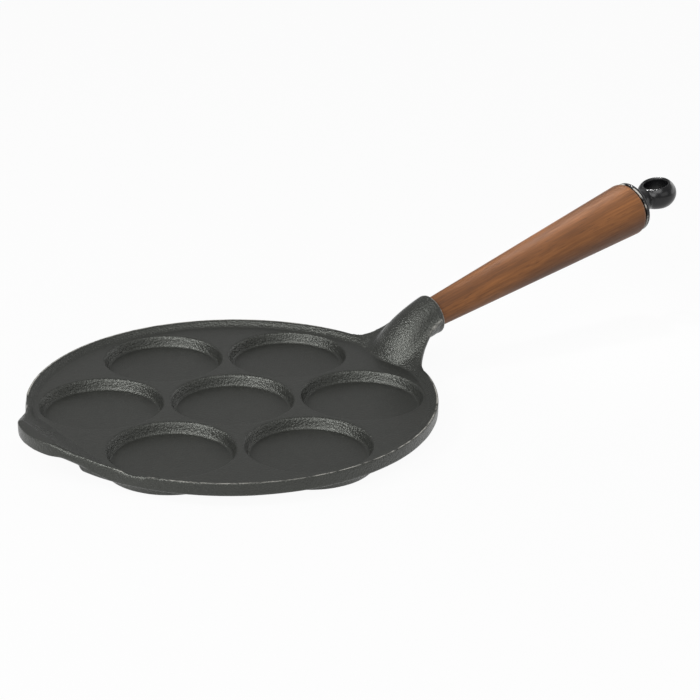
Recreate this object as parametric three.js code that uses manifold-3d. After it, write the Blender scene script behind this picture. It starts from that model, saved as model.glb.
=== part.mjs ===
// A cast-iron pan for small pancakes. Seven shallow wells are sunk in one casting, whose neck ends in
// a socket. A turned wooden grip sits in the socket, and a tie rod through it screws into a hanging eye.
// Millimetres, +Z up. The pan stands on z = 0, the pan's axis is the Z axis and the handle runs along +X.

import * as THREE from "three";
import { mergeVertices } from "three/addons/utils/BufferGeometryUtils.js";
import Module from "manifold-3d";

// Plate and rim
const PAN_RADIUS = 115;
const PLATE_THICKNESS = 4.1;
const RIM_HEIGHT = 3.7;
const RIM_SLOPE_WIDTH = 5.3;
const RIM_EDGE_RADIUS = 1;

// Wells, one in the middle and the others on a circle round it
const OUTER_WELLS = 6;
const WELL_PITCH_RADIUS = 73;
const WELL_MOUTH_RADIUS = 35;
const WELL_FLOOR_RADIUS = 32.2;
const WELL_DEPTH = 5.8;
const WELL_FILLET = 1.6;
const WELL_FLOOR_THICKNESS = 4.2;
const WELL_WALL = 4.2;
const BOSS_EDGE_RADIUS = 1.4;

// Finger lip, opposite the handle: a round tongue that rises outwards, hollowed underneath
const LIP_REACH = 13.5;
const LIP_RADIUS = 45;
const LIP_FILLET = 24;
const LIP_PAD_INSET = 13;
const LIP_PAD_SLOPE = THREE.MathUtils.degToRad(28);
const LIP_WALL = 5.5;
const LIP_BORDER_WIDTH = 7;
const LIP_BORDER_STEP = 0.5;
const LIP_EDGE_RADIUS = 1.8;
const LIP_FACE_HEIGHT = 7;
const FINGER_WIDTH = 53;
const FINGER_END_SLOPE = THREE.MathUtils.degToRad(42);

// Neck: flat shoulders that sweep off the rim, with a round nose along their middle and a keel below
const NECK_HALF_WIDTH = 14.8;
const NECK_END_INSET = 0.7;
const NECK_FILLET = 25;
const SHOULDER_SLOPE = THREE.MathUtils.degToRad(35);
const SHOULDER_INSET = 4;
const SHOULDER_END = 3.5;
const SHOULDER_WEB = 8;
const WAIST_WEB = 2.5;
const NOSE_INSET = 13;
const NOSE_RADIUS = 16;
const NOSE_FLANK = THREE.MathUtils.degToRad(63);
const NOSE_END_RISE = THREE.MathUtils.degToRad(22);
const NOSE_FILLET = 5;
const KEEL_INSET = 11;

// Handle axis: where it starts inside the socket, off the rim and over the plate, and its rise
const HANDLE_REACH = 25.1;
const HANDLE_LIFT = 19.1;
const HANDLE_RISE = THREE.MathUtils.degToRad(13);

// Socket
const SOCKET_WALL = 2.7;
const SOCKET_TAPER = 2.8;
const SOCKET_LIP = 3;
const SOCKET_EDGE_RADIUS = 1.1;
const SOCKET_SHANK = 11;
const SOCKET_DEPTH = 11;

// Grip, a straight taper with a rounded butt
const GRIP_LENGTH = 165.5;
const GRIP_ROOT_RADIUS = 9;
const GRIP_BUTT_RADIUS = 16.9;
const GRIP_BUTT_ROUND = 3.6;

// Tie rod, threaded into the neck and the eye
const ROD_RADIUS = 4;
const ROD_CHAMFER = 0.8;
const NECK_THREAD = 12;
const EYE_THREAD = 13;

// Hanging eye
const FLANGE_RADIUS = 16;
const FLANGE_EDGE = 2.8;
const EYE_NECK_RADIUS = 8.1;
const EYE_NECK_LENGTH = 9;
const EYE_CENTRE = 23.9;
const RING_RADIUS = 12.5;
const RING_BULGE = 10;
const RING_HALF_HEIGHT = 7.5;
const RING_HOLE_RADIUS = 6.8;
const RING_HOLE_ROUND = 2.6;

// Gap between pieces that touch
const CLEARANCE = 0.3;

// Reach of the lip's and the neck's sides into the rim's wall
const RIM_OVERLAP = 0.3;

// Facets round a full turn
const RIM_FACETS = 84;
const WELL_FACETS = 36;
const GRIP_FACETS = 40;
const ROD_FACETS = 24;

const WELL_FLOOR = WELL_FLOOR_THICKNESS;
const PLATE_TOP = WELL_FLOOR + WELL_DEPTH;
const PLATE_BOTTOM = PLATE_TOP - PLATE_THICKNESS;
const RIM_TOP = PLATE_TOP + RIM_HEIGHT;
const LIP_PAD_FOOT = PAN_RADIUS - LIP_PAD_INSET;
const LIP_TIP = PAN_RADIUS + LIP_REACH;
const LIP_CREST = LIP_TIP - LIP_BORDER_WIDTH;
const LIP_TOP = padHeight(LIP_CREST) + LIP_BORDER_STEP;
const LIP_CEILING = LIP_TOP - LIP_FACE_HEIGHT;
const HANDLE_START = PAN_RADIUS + HANDLE_REACH;
const HANDLE_HEIGHT = PLATE_TOP + HANDLE_LIFT;
const SOCKET_RADIUS = GRIP_ROOT_RADIUS + CLEARANCE + SOCKET_WALL;
const SOCKET_FLOOR = SOCKET_LIP - SOCKET_DEPTH;
const NOSE_FOOT = PAN_RADIUS - NOSE_INSET;
const KEEL_START = PAN_RADIUS - KEEL_INSET;
const NECK_END_HALF_WIDTH = SOCKET_RADIUS - NECK_END_INSET;
const NECK_HOLLOW_GAP = PAN_RADIUS - RIM_OVERLAP + NECK_FILLET;
const NECK_HOLLOW_Y = NECK_HALF_WIDTH + NECK_FILLET;
const WAIST_X = Math.sqrt(NECK_HOLLOW_GAP ** 2 - NECK_HOLLOW_Y ** 2);
const NECK_END = handlePoint(SOCKET_LIP, SOCKET_RADIUS).x - SOCKET_EDGE_RADIUS;
const FLANGE_SEAT = GRIP_LENGTH + CLEARANCE;

const wasm = await Module();
wasm.setup();

// Outline point
function at(x, y) {
  return new THREE.Vector2(x, y);
}

// Closed solid from a three.js geometry
function solid(geometry) {
  const bare = geometry.clone();
  bare.deleteAttribute("normal");
  bare.deleteAttribute("uv");
  const merged = mergeVertices(bare, 1e-4);
  const vertProperties = new Float32Array(merged.attributes.position.array);
  const triVerts = new Uint32Array(merged.index.array);
  return new wasm.Manifold(new wasm.Mesh({ numProp: 3, vertProperties, triVerts }));
}

// Named mesh from a closed solid
function mesh(name, body, material) {
  const data = body.getMesh();
  const geometry = new THREE.BufferGeometry();
  geometry.setAttribute("position", new THREE.BufferAttribute(data.vertProperties, 3));
  geometry.setIndex(new THREE.BufferAttribute(data.triVerts, 1));
  geometry.computeVertexNormals();
  const piece = new THREE.Mesh(geometry, material);
  piece.name = name;
  return piece;
}

// Profile of radius and height, turned round Z
function turned(profile, facets) {
  return new THREE.LatheGeometry(profile, facets).rotateX(Math.PI / 2);
}

// Quarter round between two points, bulging towards the corner
function round(from, corner, to, steps) {
  return new THREE.QuadraticBezierCurve(from, corner, to).getPoints(steps);
}

// Side outline of distance along X and height, run across the pan to a total width
function across(outline, width) {
  const bar = new THREE.ExtrudeGeometry(outline, { depth: width, bevelEnabled: false });
  return bar.rotateX(Math.PI / 2).translate(0, width / 2, 0);
}

// End outline of distance across the pan and height, run along X between two places
function lengthwise(outline, from, to) {
  const bar = new THREE.ExtrudeGeometry(outline, { depth: to - from, bevelEnabled: false });
  return bar.rotateX(Math.PI / 2).rotateZ(Math.PI / 2).translate(from, 0, 0);
}

// Larger and smaller of two heights, eased over a given reach
function easedMax(a, b, reach) {
  const share = THREE.MathUtils.clamp(0.5 + (0.5 * (a - b)) / reach, 0, 1);
  return THREE.MathUtils.lerp(b, a, share) + reach * share * (1 - share);
}
function easedMin(a, b, reach) {
  return -easedMax(-a, -b, reach);
}

// Drop of a round bar's surface at a distance from its crown line, with straight flanks lower down
function barDrop(radius, offset) {
  const inside = Math.min(Math.abs(offset), radius * Math.sin(NOSE_FLANK));
  const drop = radius - Math.sqrt(radius * radius - inside * inside);
  return drop + (Math.abs(offset) - inside) * Math.tan(NOSE_FLANK);
}

// Half width of the same bar where it has dropped by a given height
function barHalfWidth(radius, drop) {
  const inside = THREE.MathUtils.clamp(drop, 0, radius * (1 - Math.cos(NOSE_FLANK)));
  const arc = Math.sqrt(2 * radius * inside - inside * inside);
  return arc + Math.max(drop - inside, 0) / Math.tan(NOSE_FLANK);
}

// Height at x on the arc that leaves a foot point and comes to an end point at a given rise
function risingArc(foot, end, endRise, x) {
  const chord = end.clone().sub(foot);
  const turn = chord.angle() - endRise;
  const radius = chord.length() / (2 * Math.sin(turn));
  const centre = at(Math.sin(endRise), -Math.cos(endRise)).multiplyScalar(radius).add(end);
  const run = Math.min(centre.x - Math.max(x, foot.x), radius);
  return centre.y + Math.sqrt(radius * radius - run * run);
}

// Point in the handle's plane at a distance along its axis and a height off it
function handlePoint(along, off) {
  const x = HANDLE_START + along * Math.cos(HANDLE_RISE) - off * Math.sin(HANDLE_RISE);
  const z = HANDLE_HEIGHT + along * Math.sin(HANDLE_RISE) + off * Math.cos(HANDLE_RISE);
  return at(x, z);
}

// Height of the lip's sloping pad at a distance from the pan's axis
function padHeight(distance) {
  return PLATE_TOP + (distance - LIP_PAD_FOOT) * Math.tan(LIP_PAD_SLOPE);
}

// Grip radius along the handle's axis, beyond the socket's mouth
function gripRadius(along) {
  const share = (along - SOCKET_LIP) / (GRIP_LENGTH - SOCKET_LIP);
  return THREE.MathUtils.lerp(GRIP_ROOT_RADIUS, GRIP_BUTT_RADIUS, share);
}

// Plate with its rim
function plate() {
  const wall = PAN_RADIUS - RIM_EDGE_RADIUS;
  return turned(
    [
      at(0, PLATE_BOTTOM),
      ...round(
        at(wall, PLATE_BOTTOM),
        at(PAN_RADIUS, PLATE_BOTTOM),
        at(PAN_RADIUS, PLATE_BOTTOM + RIM_EDGE_RADIUS),
        3,
      ),
      ...round(
        at(PAN_RADIUS, RIM_TOP - RIM_EDGE_RADIUS),
        at(PAN_RADIUS, RIM_TOP),
        at(wall - RIM_EDGE_RADIUS, RIM_TOP - RIM_EDGE_RADIUS),
        4,
      ),
      at(PAN_RADIUS - RIM_SLOPE_WIDTH, PLATE_TOP),
      at(0, PLATE_TOP),
    ],
    RIM_FACETS,
  );
}

// Hollow of one well
function wellHollow() {
  const lead = 1;
  const draft = (WELL_MOUTH_RADIUS - WELL_FLOOR_RADIUS) / WELL_DEPTH;
  const foot = WELL_FLOOR_RADIUS + WELL_FILLET * draft;
  return turned(
    [
      at(0, WELL_FLOOR),
      ...round(
        at(WELL_FLOOR_RADIUS - WELL_FILLET, WELL_FLOOR),
        at(WELL_FLOOR_RADIUS, WELL_FLOOR),
        at(foot, WELL_FLOOR + WELL_FILLET),
        3,
      ),
      at(WELL_MOUTH_RADIUS + lead * draft, PLATE_TOP + lead),
      at(0, PLATE_TOP + lead),
    ],
    WELL_FACETS,
  );
}

// Iron under one well, standing out below the plate
function wellBoss() {
  const foot = WELL_FLOOR_RADIUS + WELL_WALL;
  const top = WELL_MOUTH_RADIUS + WELL_WALL;
  const root = PLATE_TOP - PLATE_THICKNESS / 2;
  return turned(
    [
      at(0, 0),
      ...round(at(foot - BOSS_EDGE_RADIUS, 0), at(foot, 0), at(foot, BOSS_EDGE_RADIUS), 2),
      at(top, root),
      at(0, root),
    ],
    WELL_FACETS,
  );
}

// Well centres. The handle lies midway between two of the outer ones.
function wellCentres() {
  const centres = [at(0, 0)];
  for (let i = 0; i < OUTER_WELLS; i++) {
    const turn = ((i + 0.5) * 2 * Math.PI) / OUTER_WELLS;
    centres.push(at(WELL_PITCH_RADIUS, 0).rotateAround(at(0, 0), turn));
  }
  return centres;
}

// Plan outline of the lip: a round end, and a hollow round on each side where it leaves the rim
function lipOutline() {
  const end = at(LIP_RADIUS - LIP_TIP, 0);
  const rimGap = PAN_RADIUS - RIM_OVERLAP + LIP_FILLET;
  const endGap = LIP_RADIUS + LIP_FILLET;
  const hollowX = (endGap * endGap - rimGap * rimGap - end.x * end.x) / (-2 * end.x);
  const hollow = at(hollowX, Math.sqrt(rimGap * rimGap - hollowX * hollowX));
  const rimPoint = hollow.clone().multiplyScalar(1 - LIP_FILLET / rimGap);
  const toRim = Math.atan2(-hollow.y, -hollow.x);
  const toEnd = Math.atan2(-hollow.y, end.x - hollow.x);
  const spread = Math.atan2(hollow.y, hollow.x - end.x);
  const outline = new THREE.Shape();
  outline.moveTo(-LIP_PAD_FOOT, rimPoint.y);
  outline.lineTo(rimPoint.x, rimPoint.y);
  outline.absarc(hollow.x, hollow.y, LIP_FILLET, toRim, toEnd, true);
  outline.absarc(end.x, 0, LIP_RADIUS, spread, -spread, false);
  outline.absarc(hollow.x, -hollow.y, LIP_FILLET, -toEnd, -toRim, true);
  outline.lineTo(-LIP_PAD_FOOT, -rimPoint.y);
  return outline;
}

// Lip with its sloping pad and the border beyond it, an even wall above an undercut
function lip() {
  const base = PLATE_BOTTOM + RIM_EDGE_RADIUS;
  const bevel = {
    depth: LIP_TOP - base - 2 * LIP_EDGE_RADIUS,
    bevelThickness: LIP_EDGE_RADIUS,
    bevelSize: LIP_EDGE_RADIUS,
    bevelOffset: -LIP_EDGE_RADIUS,
    bevelSegments: 3,
    curveSegments: 10,
  };
  const tongue = new THREE.ExtrudeGeometry(lipOutline(), bevel);
  tongue.translate(0, 0, base + LIP_EDGE_RADIUS);
  const abovePad = new THREE.Shape([
    at(-LIP_CREST, padHeight(LIP_CREST)),
    at(LIP_REACH - LIP_PAD_FOOT, padHeight(LIP_PAD_FOOT - LIP_REACH)),
    at(LIP_REACH - LIP_PAD_FOOT, LIP_TOP + LIP_REACH),
    at(-LIP_CREST, LIP_TOP + LIP_REACH),
  ]);
  return solid(tongue)
    .subtract(solid(across(abovePad, 2 * PAN_RADIUS)))
    .subtract(solid(across(lipUndercut(), 2 * PAN_RADIUS)));
}

// Side outline of the space under the lip: a slope along the pad, then level out to the lip's end
function lipUndercut() {
  const floor = PLATE_BOTTOM - LIP_WALL;
  const slope = Math.tan(LIP_PAD_SLOPE);
  const start = LIP_PAD_FOOT + (PLATE_BOTTOM + LIP_WALL - PLATE_TOP) / slope;
  const level = LIP_PAD_FOOT + (LIP_CEILING + LIP_WALL - PLATE_TOP) / slope;
  return new THREE.Shape([
    at(-start, floor),
    at(-start, PLATE_BOTTOM),
    at(-level, LIP_CEILING),
    at(-LIP_TIP - LIP_REACH, LIP_CEILING),
    at(-LIP_TIP - LIP_REACH, floor),
  ]);
}

// Finger hollow, cut on into the rim under the lip, with slanting ends
function fingerHollow() {
  const floor = PLATE_BOTTOM - LIP_WALL;
  const half = FINGER_WIDTH / 2 + LIP_WALL / Math.tan(FINGER_END_SLOPE);
  const top = half - (LIP_TOP - floor) / Math.tan(FINGER_END_SLOPE);
  const arch = new THREE.Shape([at(-half, floor), at(half, floor), at(top, LIP_TOP), at(-top, LIP_TOP)]);
  const under = solid(across(lipUndercut(), 2 * PAN_RADIUS));
  return under.intersect(solid(lengthwise(arch, -LIP_TIP - LIP_REACH, -WELL_PITCH_RADIUS)));
}

// Half width of the neck at x: a hollow round off the rim, a straight waist, then in to the socket
function neckHalfWidth(x) {
  const fromWaist = Math.min(WAIST_X - x, (WAIST_X * NECK_FILLET) / NECK_HOLLOW_GAP);
  if (fromWaist > 0) return NECK_HOLLOW_Y - Math.sqrt(NECK_FILLET ** 2 - fromWaist ** 2);
  const closing = fromWaist / (WAIST_X - NECK_END);
  return THREE.MathUtils.lerp(NECK_HALF_WIDTH, NECK_END_HALF_WIDTH, closing ** 3);
}

// Height of the shoulders on both sides of the nose: a flat ramp that eases into the handle's rise
function shoulderHeight(x) {
  const ramp = RIM_TOP + (x - PAN_RADIUS + SHOULDER_INSET) * Math.tan(SHOULDER_SLOPE);
  const end = HANDLE_HEIGHT + (x - HANDLE_START) * Math.tan(HANDLE_RISE) + SHOULDER_END;
  return easedMin(ramp, end, NOSE_FILLET);
}

// Height of the web's underside
function webHeight(x) {
  const share = THREE.MathUtils.smoothstep(x, KEEL_START, WAIST_X);
  return shoulderHeight(x) - THREE.MathUtils.lerp(SHOULDER_WEB, WAIST_WEB, share);
}

// Nose along the middle of the neck: its crown line and its radius
function noseCrown(x) {
  return risingArc(at(NOSE_FOOT, PLATE_TOP), handlePoint(0, SOCKET_RADIUS), NOSE_END_RISE, x);
}
function noseRadius(x) {
  const share = THREE.MathUtils.smoothstep(x, NOSE_FOOT, NECK_END);
  return THREE.MathUtils.lerp(NOSE_RADIUS, SOCKET_RADIUS, share);
}

// Keel line below the nose
function keelHeight(x) {
  return risingArc(at(KEEL_START, PLATE_BOTTOM), handlePoint(0, -SOCKET_RADIUS), HANDLE_RISE, x);
}

// Heights of the neck's upper and lower skins
function neckTop(x, y) {
  const nose = noseCrown(x) - barDrop(noseRadius(x), y);
  return Math.max(easedMax(nose, shoulderHeight(x), NOSE_FILLET), PLATE_TOP - PLATE_THICKNESS / 2);
}
function neckBottom(x, y) {
  const bar = keelHeight(x) + barDrop(SOCKET_RADIUS, y);
  return Math.max(easedMin(bar, webHeight(x), NOSE_FILLET), PLATE_BOTTOM + RIM_EDGE_RADIUS);
}

// Places across the neck, from one edge to the other: close together where a bar meets the flat beside it
function placesAcross(half, barHalf) {
  const foot = THREE.MathUtils.clamp(barHalf, half / 4, (half * 3) / 4);
  const onBar = 8;
  const onFlat = 6;
  const side = [];
  for (let i = 1; i <= onBar; i++) side.push(foot * Math.sin(((i / onBar) * Math.PI) / 2));
  for (let i = 1; i <= onFlat; i++) side.push(foot + (half - foot) * (i / onFlat) ** 2);
  return [...side.map((y) => -y).reverse(), 0, ...side];
}

// Neck as a loft of upright sections from inside the plate to the socket
function neck() {
  const sections = 30;
  const start = NOSE_FOOT - SHOULDER_INSET;
  const points = [];
  let ring = 0;
  for (let i = 0; i <= sections; i++) {
    const x = THREE.MathUtils.lerp(start, NECK_END, i / sections);
    const half = neckHalfWidth(x);
    const upper = placesAcross(half, barHalfWidth(noseRadius(x), noseCrown(x) - shoulderHeight(x)));
    const lower = placesAcross(half, barHalfWidth(SOCKET_RADIUS, webHeight(x) - keelHeight(x)));
    for (const y of upper) points.push(x, y, neckTop(x, y));
    for (const y of lower.reverse()) points.push(x, y, neckBottom(x, y));
    ring = upper.length + lower.length;
  }
  return loft(points, ring, sections);
}

// Closed skin over rings of points, each ring running the same way, with flat ends
function loft(points, ring, sections) {
  const faces = [];
  for (let i = 0; i < sections; i++) {
    for (let j = 0; j < ring; j++) {
      const a = i * ring + j;
      const b = i * ring + ((j + 1) % ring);
      faces.push(a, a + ring, b, b, a + ring, b + ring);
    }
  }
  const last = sections * ring;
  for (let j = 0; j < ring / 2 - 1; j++) {
    const k = ring - 1 - j;
    faces.push(j, j + 1, k, j + 1, k - 1, k);
    faces.push(last + j, last + k, last + j + 1, last + j + 1, last + k, last + k - 1);
  }
  const skin = new THREE.BufferGeometry();
  skin.setAttribute("position", new THREE.Float32BufferAttribute(points, 3));
  skin.setIndex(faces);
  return skin;
}

// Socket's outside, along the handle's axis: a short bulb with a rounded mouth
function socketBody() {
  return turned(
    [
      at(0, -SOCKET_SHANK),
      ...round(
        at(SOCKET_RADIUS - SOCKET_TAPER, -SOCKET_SHANK),
        at(SOCKET_RADIUS, -SOCKET_LIP),
        at(SOCKET_RADIUS, SOCKET_LIP - SOCKET_EDGE_RADIUS),
        4,
      ),
      ...round(
        at(SOCKET_RADIUS, SOCKET_LIP - SOCKET_EDGE_RADIUS),
        at(SOCKET_RADIUS, SOCKET_LIP),
        at(SOCKET_RADIUS - SOCKET_EDGE_RADIUS, SOCKET_LIP),
        3,
      ).slice(1),
      at(0, SOCKET_LIP),
    ],
    GRIP_FACETS,
  );
}

// Hollow that takes the grip's end, with the tapped hole below it
function socketHollow() {
  const cup = GRIP_ROOT_RADIUS + CLEARANCE;
  const hole = ROD_RADIUS + CLEARANCE;
  return turned(
    [
      at(0, SOCKET_FLOOR - NECK_THREAD),
      at(hole, SOCKET_FLOOR - NECK_THREAD),
      at(hole, SOCKET_FLOOR),
      at(cup, SOCKET_FLOOR),
      at(cup, SOCKET_LIP + SOCKET_LIP),
      at(0, SOCKET_LIP + SOCKET_LIP),
    ],
    GRIP_FACETS,
  );
}

// Whole casting
function panCasting(handleFrame) {
  let body = solid(plate());
  for (const centre of wellCentres()) {
    body = body.add(solid(wellBoss().translate(centre.x, centre.y, 0)));
  }
  body = body.add(lip()).add(solid(neck())).add(solid(socketBody().applyMatrix4(handleFrame)));
  for (const centre of wellCentres()) {
    body = body.subtract(solid(wellHollow().translate(centre.x, centre.y, 0)));
  }
  return body.subtract(fingerHollow()).subtract(solid(socketHollow().applyMatrix4(handleFrame)));
}

// Grip, bored through for the rod
function handleGrip() {
  const bore = ROD_RADIUS + CLEARANCE;
  const foot = SOCKET_FLOOR + CLEARANCE;
  const buttStart = GRIP_LENGTH - GRIP_BUTT_ROUND;
  const buttRadius = gripRadius(buttStart);
  const start = at(bore, foot);
  return turned(
    [
      start,
      at(GRIP_ROOT_RADIUS, foot),
      at(GRIP_ROOT_RADIUS, SOCKET_LIP),
      at(gripRadius(buttStart / 2), buttStart / 2),
      ...round(
        at(buttRadius, buttStart),
        at(buttRadius, GRIP_LENGTH),
        at(buttRadius - GRIP_BUTT_ROUND, GRIP_LENGTH),
        5,
      ),
      at(bore, GRIP_LENGTH),
      start.clone(),
    ],
    GRIP_FACETS,
  );
}

// Tie rod with chamfered ends
function tieRod() {
  const foot = SOCKET_FLOOR - NECK_THREAD + CLEARANCE;
  const head = FLANGE_SEAT + EYE_THREAD - CLEARANCE;
  return turned(
    [
      at(0, foot),
      at(ROD_RADIUS - ROD_CHAMFER, foot),
      at(ROD_RADIUS, foot + ROD_CHAMFER),
      at(ROD_RADIUS, head - ROD_CHAMFER),
      at(ROD_RADIUS - ROD_CHAMFER, head),
      at(0, head),
    ],
    ROD_FACETS,
  );
}

// Half section of the eye's ring: out round the ball, over the upper crest and down through the hole
function ringWall() {
  const tilt = Math.asin(RING_HALF_HEIGHT / RING_BULGE);
  const crest = RING_RADIUS * Math.cos(tilt);
  const edge = RING_HALF_HEIGHT - RING_HOLE_ROUND;
  const outer = new THREE.EllipseCurve(0, 0, RING_RADIUS, RING_BULGE, -tilt, tilt).getPoints(10);
  const upper = at(RING_HOLE_RADIUS, RING_HALF_HEIGHT);
  const lower = at(RING_HOLE_RADIUS, -RING_HALF_HEIGHT);
  const top = round(at(crest, RING_HALF_HEIGHT), upper, at(RING_HOLE_RADIUS, edge), 4);
  const bottom = round(at(RING_HOLE_RADIUS, -edge), lower, at(crest, -RING_HALF_HEIGHT), 4);
  return [...outer, ...top.slice(1), ...bottom];
}

// Hanging eye: a flange that narrows like a trumpet to a neck, and a ball-like ring at its end
function endEye() {
  const waist = FLANGE_SEAT + EYE_NECK_LENGTH;
  const centre = FLANGE_SEAT + EYE_CENTRE;
  const neckTip = centre - (RING_RADIUS + RING_HOLE_RADIUS) / 2;
  const stem = turned(
    [
      at(0, FLANGE_SEAT),
      at(FLANGE_RADIUS - FLANGE_EDGE / 2, FLANGE_SEAT),
      at(FLANGE_RADIUS, FLANGE_SEAT + FLANGE_EDGE / 2),
      ...round(
        at(FLANGE_RADIUS - FLANGE_EDGE / 2, FLANGE_SEAT + FLANGE_EDGE),
        at(EYE_NECK_RADIUS, FLANGE_SEAT + FLANGE_EDGE),
        at(EYE_NECK_RADIUS, waist),
        6,
      ),
      at(EYE_NECK_RADIUS - FLANGE_EDGE / 2, neckTip),
      at(0, neckTip),
    ],
    GRIP_FACETS,
  );
  const ring = turned(ringWall(), GRIP_FACETS);
  ring.rotateY(-Math.PI / 2).translate(0, 0, centre);
  const bore = turned(
    [
      at(0, FLANGE_SEAT - CLEARANCE),
      at(ROD_RADIUS + CLEARANCE, FLANGE_SEAT - CLEARANCE),
      at(ROD_RADIUS + CLEARANCE, FLANGE_SEAT + EYE_THREAD),
      at(0, FLANGE_SEAT + EYE_THREAD),
    ],
    ROD_FACETS,
  );
  return solid(stem).add(solid(ring)).subtract(solid(bore));
}

const castIron = new THREE.MeshStandardMaterial({ color: 0x454541, roughness: 0.62, metalness: 0.75 });
const walnut = new THREE.MeshStandardMaterial({ color: 0x6f4630, roughness: 0.5, metalness: 0 });
const steel = new THREE.MeshStandardMaterial({ color: 0x9a9c9e, roughness: 0.35, metalness: 1 });
const blackIron = new THREE.MeshStandardMaterial({ color: 0x0d0d0e, roughness: 0.25, metalness: 0.2 });

// The handle's pieces stand along the Z axis of their own group, which leans over to the handle's axis.
const handle = new THREE.Group();
handle.position.set(HANDLE_START, 0, HANDLE_HEIGHT);
handle.rotation.y = Math.PI / 2 - HANDLE_RISE;
handle.updateMatrix();
handle.add(mesh("handle_grip", solid(handleGrip()), walnut));
handle.add(mesh("tie_rod", solid(tieRod()), steel));
handle.add(mesh("end_eye", endEye(), blackIron));

const pan = new THREE.Group();
pan.add(mesh("pan_casting", panCasting(handle.matrix), castIron));
pan.add(handle);

export default pan;
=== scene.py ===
from math import asin, atan2, cos, hypot, pi, radians, sin, sqrt, tan

import bpy
from bpy.props import FloatProperty, FloatVectorProperty, IntProperty, PointerProperty
from bpy.types import NodeSocket, Operator, Panel, PropertyGroup, Scene
from mathutils import Matrix, Vector


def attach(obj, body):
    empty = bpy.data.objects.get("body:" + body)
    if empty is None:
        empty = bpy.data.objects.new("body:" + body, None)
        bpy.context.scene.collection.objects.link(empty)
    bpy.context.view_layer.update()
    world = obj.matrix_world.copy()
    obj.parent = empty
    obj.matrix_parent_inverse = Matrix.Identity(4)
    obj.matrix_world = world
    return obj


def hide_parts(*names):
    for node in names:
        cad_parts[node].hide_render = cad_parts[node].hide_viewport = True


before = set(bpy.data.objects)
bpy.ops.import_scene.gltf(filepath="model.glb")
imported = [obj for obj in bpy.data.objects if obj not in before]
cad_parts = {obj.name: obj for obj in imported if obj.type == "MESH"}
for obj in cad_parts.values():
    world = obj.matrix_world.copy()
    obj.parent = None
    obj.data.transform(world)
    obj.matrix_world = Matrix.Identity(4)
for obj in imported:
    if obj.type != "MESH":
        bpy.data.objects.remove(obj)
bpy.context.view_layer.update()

bl_info = {
    "name": "Blini Pan",
    "version": (1, 0, 0),
    "blender": (4, 5, 0),
    "location": "3D View > Sidebar > Pan",
    "description": "Models a cast-iron blini pan with a turned walnut handle and a hanging eye",
    "category": "Add Mesh",
}

# A millimetre in metres.
MM = 0.001
# How far the neck and the finger lip run into the rim.
RIM_OVERLAP = 0.3 * MM
# Most triangles of the two meshed castings.
IRON_TRIANGLES, EYE_TRIANGLES = 190000, 110000
X, Y, Z = Vector((1, 0, 0)), Vector((0, 1, 0)), Vector((0, 0, 1))


def length(mm, name, description):
    """A size property, given in millimetres."""
    return FloatProperty(
        name=name, description=description, default=mm * MM, min=0, precision=5, unit="LENGTH"
    )


def slope(degrees, name, description):
    """An angle property, given in degrees."""
    return FloatProperty(name=name, description=description, default=radians(degrees), unit="ROTATION")


def colour(rgb, name, description):
    """A colour property, in linear light."""
    return FloatVectorProperty(name=name, description=description, default=rgb, min=0, max=1, subtype="COLOR")


def share(value, name, description):
    """A property from 0 to 1."""
    return FloatProperty(name=name, description=description, default=value, min=0, max=1, subtype="FACTOR")


class PanSizes(PropertyGroup):
    """Sizes of the round casting and its wells"""

    rim_radius: length(115, "Rim radius", "Outside of the rim")
    plate_top: length(10, "Plate top", "Height of the plate's upper face")
    plate_thickness: length(4.1, "Plate thickness", "Iron between the wells")
    rim_height: length(3.7, "Rim height", "Rise of the rim over the plate")
    rim_slope: length(5.3, "Rim slope", "Width of the rim's inner slope")
    rim_edge: length(1, "Rim edge", "Round of the rim's edges")
    rim_foot: length(4, "Rim foot", "Round at the foot of the rim's slope")
    outer_wells: IntProperty(
        name="Outer wells", description="Wells round the middle one", default=6, min=3, max=12
    )
    well_pitch: length(73, "Well pitch", "Circle of the outer wells")
    well_mouth: length(34.7, "Well mouth", "Radius of a well at its top")
    well_foot: length(32.2, "Well foot", "Radius of a well at its floor")
    well_floor: length(4.2, "Well floor", "Height of a well's floor")
    well_fillet: length(0.7, "Well fillet", "Round at a well's foot")
    well_edge: length(1.4, "Well edge", "Round at a well's mouth")
    boss_wall: length(4.2, "Boss wall", "Iron round a well under the plate")
    boss_edge: length(1.4, "Boss edge", "Round at the foot of a boss")
    grain: length(0.5, "Mesh grain", "Size of the casting's mesh")


class LipSizes(PropertyGroup):
    """Sizes of the finger lip opposite the handle"""

    reach: length(13.5, "Reach", "How far the lip stands out")
    end_radius: length(45, "End radius", "Plan radius of the lip's end")
    side_fillet: length(24, "Side fillet", "Hollow round at each side")
    skirt_fillet: length(120, "Skirt fillet", "Long hollow round from the rim to the lip")
    level_half: length(18, "Level half", "Half width of the level top")
    pad_inset: length(13, "Pad inset", "Foot of the pad inside the rim")
    pad_slope: slope(28, "Pad slope", "Rise of the pad")
    wall: length(5.5, "Wall", "Iron under the pad")
    border: length(7, "Border", "Width of the border beyond the pad")
    border_step: length(1.2, "Border step", "Rise of the border over the pad")
    edge: length(1.8, "Edge", "Round of the lip's edges")
    face: length(7, "Face", "Height of the lip's front face")
    finger_width: length(53, "Finger width", "Width of the finger hollow")
    finger_slope: slope(42, "Finger slope", "Slant of the finger hollow's ends")


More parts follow.
